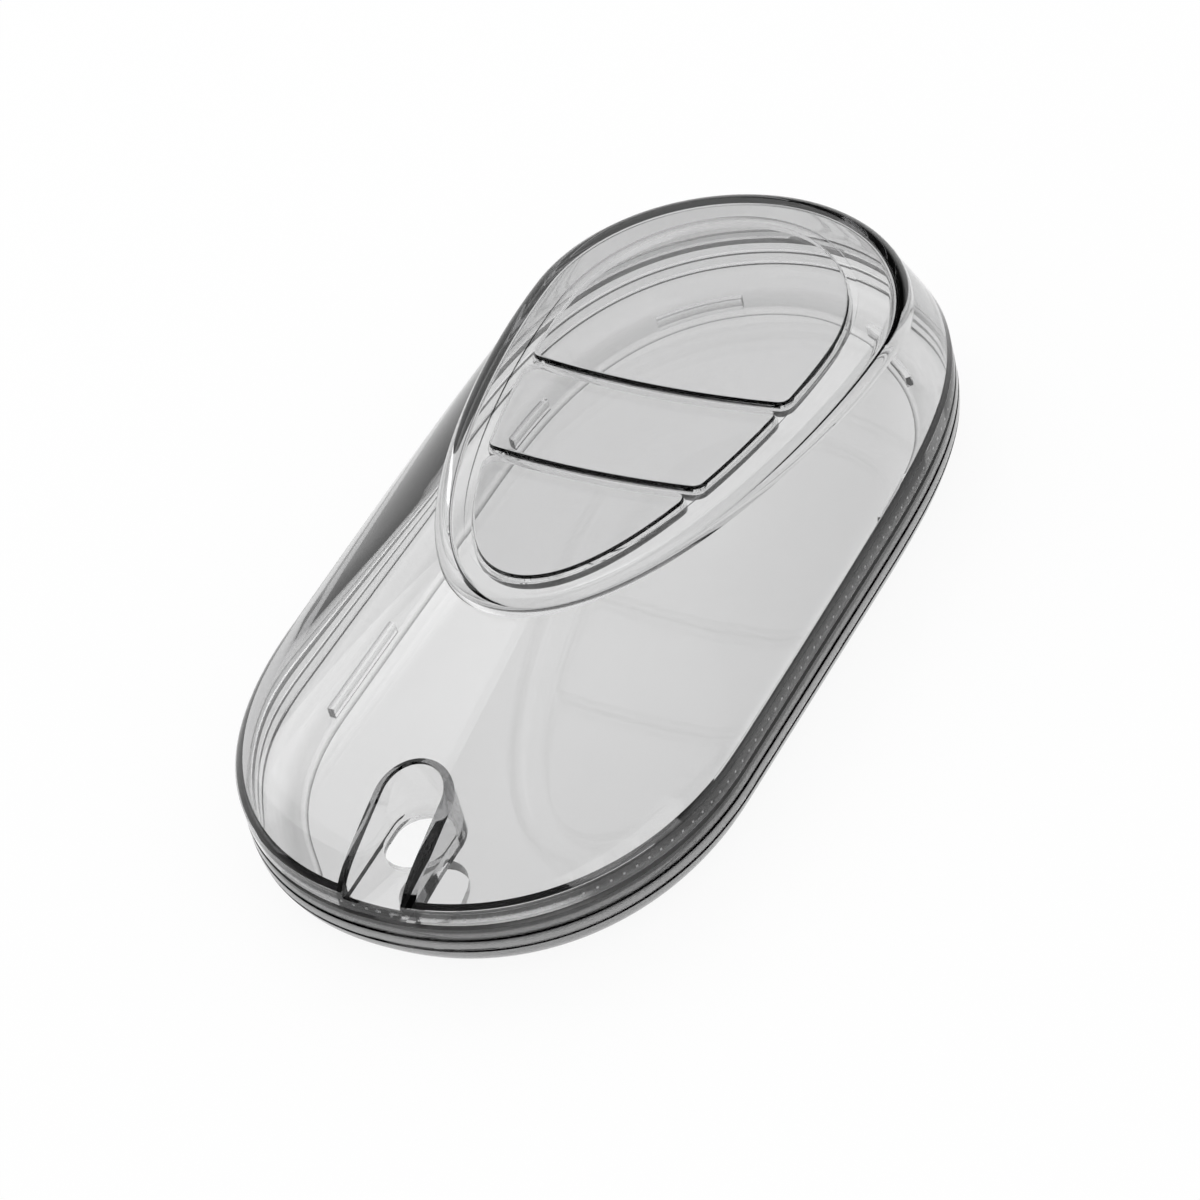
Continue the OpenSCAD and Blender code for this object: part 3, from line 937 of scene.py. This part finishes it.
toward = Vector((math.sin(AZIMUTH) * math.cos(ELEVATION), -math.cos(AZIMUTH) * math.cos(ELEVATION),
                 math.sin(ELEVATION)))
right = Vector((math.cos(AZIMUTH), math.sin(AZIMUTH), 0))
up = toward.cross(right)
rolled_right = right * math.cos(ROLL) - up * math.sin(ROLL)
rolled_up = right * math.sin(ROLL) + up * math.cos(ROLL)
camera = bpy.data.objects.new("camera", bpy.data.cameras.new("camera"))
camera.matrix_world = Matrix((rolled_right, rolled_up, toward)).transposed().to_4x4()
camera.location = toward * DISTANCE
camera.data.sensor_width = SENSOR_WIDTH
camera.data.lens = SENSOR_WIDTH * FOCAL_PIXELS / PHOTO_PIXELS
camera.data.shift_x = -(ORIGIN_X - PHOTO_PIXELS / 2) / PHOTO_PIXELS
camera.data.shift_y = (ORIGIN_Y - PHOTO_PIXELS / 2) / PHOTO_PIXELS
camera.data.clip_start = 0.01
bpy.context.scene.collection.objects.link(camera)
bpy.context.scene.camera = camera


def seen_directly(tree):
    """1 for camera, glossy and transmission rays, and 0 for the rays that carry light."""
    path = tree.nodes.new("ShaderNodeLightPath").outputs
    glossy = maths(tree, "MAXIMUM", path["Is Camera Ray"], path["Is Glossy Ray"])
    return maths(tree, "MAXIMUM", glossy, path["Is Transmission Ray"])


# Share of the floor's own shading, with the object's shadow, in what the camera sees of it
FLOOR_SHADOW = 0.08
FLOOR_HALF = 3.0
# The floor lies this far under the object, in metres, so that the two don't touch
FLOOR_DROP = 0.00003
FLOOR_COLOUR = (0.9, 0.9, 0.9, 1)
FLOOR_ROUGHNESS = 0.6


def make_floor():
    """Plain pale floor that looks white and keeps a faint shadow of the object."""
    half = FLOOR_HALF
    floor = mesh_object("floor", [(-half, -half, 0), (half, -half, 0), (half, half, 0), (-half, half, 0)],
                        [(0, 1, 2, 3)])
    floor.location.z = -FLOOR_DROP
    material, tree, shader, output = new_material("white_floor")
    shader.inputs["Base Color"].default_value = FLOOR_COLOUR
    shader.inputs["Roughness"].default_value = FLOOR_ROUGHNESS
    glow = tree.nodes.new("ShaderNodeEmission")
    mix = tree.nodes.new("ShaderNodeMixShader")
    path = tree.nodes.new("ShaderNodeLightPath")
    shading = maths(tree, "MULTIPLY", path.outputs["Is Camera Ray"], FLOOR_SHADOW)
    tree.links.new(maths(tree, "SUBTRACT", seen_directly(tree), shading), mix.inputs["Fac"])
    tree.links.new(shader.outputs["BSDF"], mix.inputs[1])
    tree.links.new(glow.outputs["Emission"], mix.inputs[2])
    tree.links.new(mix.outputs["Shader"], output.inputs["Surface"])
    floor.data.materials.append(material)


# Where the white backdrop ends and the room is fully dark, as the sine of the elevation
BACKDROP_TOP = 0.0
ROOM_BOTTOM = 0.3
ROOM_GREY = 0.03
# Where the tall white screen stands, and how near that direction it begins and is whole, as cosines
SCREEN_WAY = (-0.88, 0.45, 0.15)
SCREEN_EDGE = (0.8, 0.86)
WORLD_STRENGTH = 0.8


def make_world():
    """Even light from all round. What gloss and the plastic show is a backdrop, a dark room and a screen.

    The camera itself sees plain white.
    """
    world = bpy.data.worlds.new("studio")
    world.use_nodes = True
    tree = world.node_tree
    light = tree.nodes["Background"]
    light.inputs["Color"].default_value = (1, 1, 1, 1)
    light.inputs["Strength"].default_value = WORLD_STRENGTH
    place = tree.nodes.new("ShaderNodeTexCoord")
    height = tree.nodes.new("ShaderNodeSeparateXYZ")
    tree.links.new(place.outputs["Generated"], height.inputs["Vector"])
    room = tones(tree, height.outputs["Z"], [(BACKDROP_TOP, 1.0), (ROOM_BOTTOM, ROOM_GREY)])
    room.node.color_ramp.interpolation = "EASE"
    nearness = vector_maths(tree, "DOT_PRODUCT", place.outputs["Generated"], SCREEN_WAY)
    path = tree.nodes.new("ShaderNodeLightPath")
    white = maths(tree, "MAXIMUM", smooth(tree, nearness, *SCREEN_EDGE), path.outputs["Is Camera Ray"])
    seen = tree.nodes.new("ShaderNodeBackground")
    tree.links.new(mixed(tree, white, room, 1.0), seen.inputs["Color"])
    mix = tree.nodes.new("ShaderNodeMixShader")
    tree.links.new(seen_directly(tree), mix.inputs["Fac"])
    tree.links.new(light.outputs["Background"], mix.inputs[1])
    tree.links.new(seen.outputs["Background"], mix.inputs[2])
    tree.links.new(mix.outputs["Shader"], tree.nodes["World Output"].inputs["Surface"])
    bpy.context.scene.world = world


def soft_lamp(name, place, size, watts):
    """Broad area lamp that points at the object."""
    lamp = bpy.data.lights.new(name, "AREA")
    lamp.shape = "RECTANGLE"
    lamp.size, lamp.size_y = size
    lamp.energy = watts
    holder = bpy.data.objects.new(name, lamp)
    holder.location = place
    holder.rotation_euler = (-Vector(place)).to_track_quat("-Z", "Y").to_euler()
    bpy.context.scene.collection.objects.link(holder)


make_floor()
make_world()
soft_lamp("key", place=(-0.35, 0.25, 0.5), size=(0.6, 0.5), watts=1.2)
soft_lamp("fill", place=(0.5, -0.1, 0.45), size=(0.5, 0.5), watts=0.7)

bpy.context.scene.view_settings.view_transform = "Standard"
